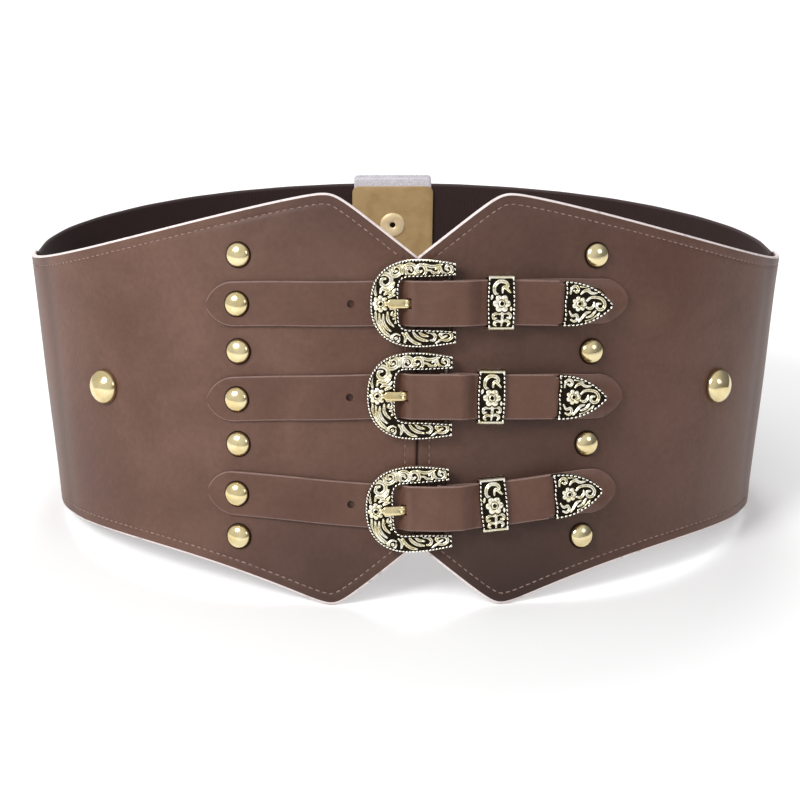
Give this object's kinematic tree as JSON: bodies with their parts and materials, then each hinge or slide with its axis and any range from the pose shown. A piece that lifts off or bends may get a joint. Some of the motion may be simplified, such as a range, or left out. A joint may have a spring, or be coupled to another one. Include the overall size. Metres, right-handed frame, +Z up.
{
  "type": "wide belt",
  "caption": "Wide waist belt with two pointed leather front panels, rows of western buckles on straps, domed rivets, an elastic back and a two-plate clasp.",
  "frame": {"origin": "on the floor below the middle of the belt's bounding box, as it stands", "axes": "+Z up, the wearer's front faces -Y, +X to the right seen from the front"},
  "size_m": [0.3492, 0.2616, 0.1687],
  "materials": {
    "panel_leather": "satin",
    "strap_leather": "satin",
    "elastic": "matte",
    "antique_gold": "cast, antiqued",
    "polished_gold": "polished",
    "clasp_gold": "plated, satin"
  },
  "bodies": {
    "root": {"front_panel_left": "panel_leather", "front_panel_right": "panel_leather", "hole_strap_1": "strap_leather", "buckle_strap_1": "strap_leather", "hole_strap_2": "strap_leather", "buckle_strap_2": "strap_leather", "hole_strap_3": "strap_leather", "buckle_strap_3": "strap_leather", "back_band_left": "elastic", "back_band_right": "elastic", "buckle_frame_1": "antique_gold", "keeper_1": "antique_gold", "strap_tip_1": "antique_gold", "buckle_frame_2": "antique_gold", "keeper_2": "antique_gold", "strap_tip_2": "antique_gold", "buckle_frame_3": "antique_gold", "keeper_3": "antique_gold", "strap_tip_3": "antique_gold", "rivet_left_a": "polished_gold", "rivet_left_b": "polished_gold", "rivet_left_c": "polished_gold", "rivet_left_d": "polished_gold", "rivet_left_e": "polished_gold", "rivet_left_f": "polished_gold", "rivet_left_g": "polished_gold", "rivet_right_a": "polished_gold", "rivet_right_b": "polished_gold", "rivet_right_c": "polished_gold", "rivet_right_d": "polished_gold", "rivet_right_e": "polished_gold", "rivet_right_f": "polished_gold", "rivet_right_g": "polished_gold", "side_stud_left": "polished_gold", "side_stud_right": "polished_gold", "clasp_stud_upper": "polished_gold", "clasp_stud_lower": "polished_gold", "buckle_prong_1": "polished_gold", "buckle_prong_2": "polished_gold", "buckle_prong_3": "polished_gold", "clasp_plate_inner": "clasp_gold", "clasp_plate_outer": "clasp_gold"}
  },
  "joints": []
}
